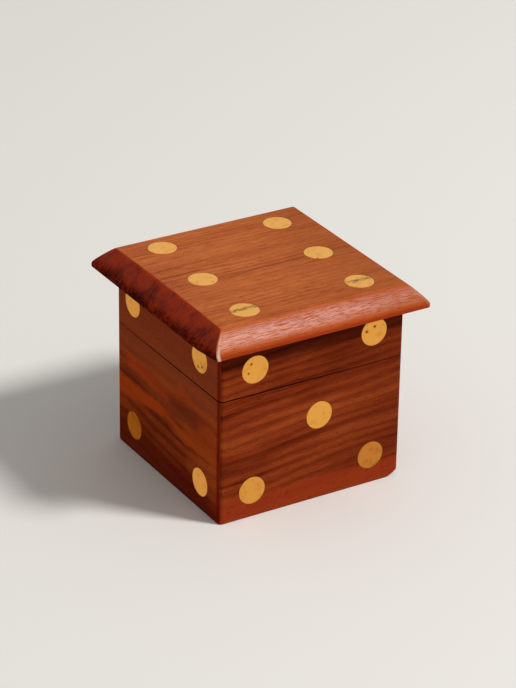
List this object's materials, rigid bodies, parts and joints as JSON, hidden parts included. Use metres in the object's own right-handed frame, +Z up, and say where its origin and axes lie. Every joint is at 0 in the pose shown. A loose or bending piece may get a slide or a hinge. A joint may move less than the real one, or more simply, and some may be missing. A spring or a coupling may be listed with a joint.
{
  "type": "dice box with hinged lid",
  "caption": "Square hardwood dice box shaped like a die: flush round brass spots on all faces and a bevelled, overhanging lid on butt hinges at the back.",
  "frame": {"origin": "on the table, under the middle of the square body", "axes": "+Z up, the face with five spots looks along -Y, the hinges are on the face at +Y, +X to the right of someone who faces the five spots"},
  "size_m": [0.075, 0.075, 0.0656],
  "materials": {
    "top_board_wood": "satin lacquer",
    "side_board_wood": "satin lacquer",
    "floor_wood": "oiled",
    "top_spot_brass": "sanded flush",
    "side_spot_brass": "sanded flush",
    "hinge_brass": "polished",
    "fixing_brass": "turned"
  },
  "bodies": {
    "base": {"base_back_board": "side_board_wood", "base_floor": "floor_wood", "base_front_board": "side_board_wood", "base_left_board": "side_board_wood", "base_right_board": "side_board_wood", "left_hinge_base_leaf": "hinge_brass", "left_hinge_base_screws": "fixing_brass", "left_hinge_pin": "fixing_brass", "right_hinge_base_leaf": "hinge_brass", "right_hinge_base_screws": "fixing_brass", "right_hinge_pin": "fixing_brass", "spot_back_1": "side_spot_brass", "spot_bottom_1": "side_spot_brass", "spot_front_2": "side_spot_brass", "spot_front_3": "side_spot_brass", "spot_front_4": "side_spot_brass", "spot_left_2": "side_spot_brass", "spot_left_3": "side_spot_brass", "spot_right_2": "side_spot_brass", "spot_right_3": "side_spot_brass"},
    "lid": {"left_hinge_lid_leaf": "hinge_brass", "left_hinge_lid_screws": "fixing_brass", "lid_back_board": "side_board_wood", "lid_front_board": "side_board_wood", "lid_left_board": "side_board_wood", "lid_right_board": "side_board_wood", "lid_top_board": "top_board_wood", "right_hinge_lid_leaf": "hinge_brass", "right_hinge_lid_screws": "fixing_brass", "spot_back_2": "side_spot_brass", "spot_front_1": "side_spot_brass", "spot_front_5": "side_spot_brass", "spot_left_1": "side_spot_brass", "spot_left_4": "side_spot_brass", "spot_right_1": "side_spot_brass", "spot_top_1": "top_spot_brass", "spot_top_2": "top_spot_brass", "spot_top_3": "top_spot_brass", "spot_top_4": "top_spot_brass", "spot_top_5": "top_spot_brass", "spot_top_6": "top_spot_brass"}
  },
  "joints": [
    {"name": "lid_hinge", "type": "hinge", "parent": "base", "child": "lid", "pos_m": [0, 0.0335, 0.0413], "axis": [-1, 0, 0], "range_deg": [0, 170]}
  ]
}
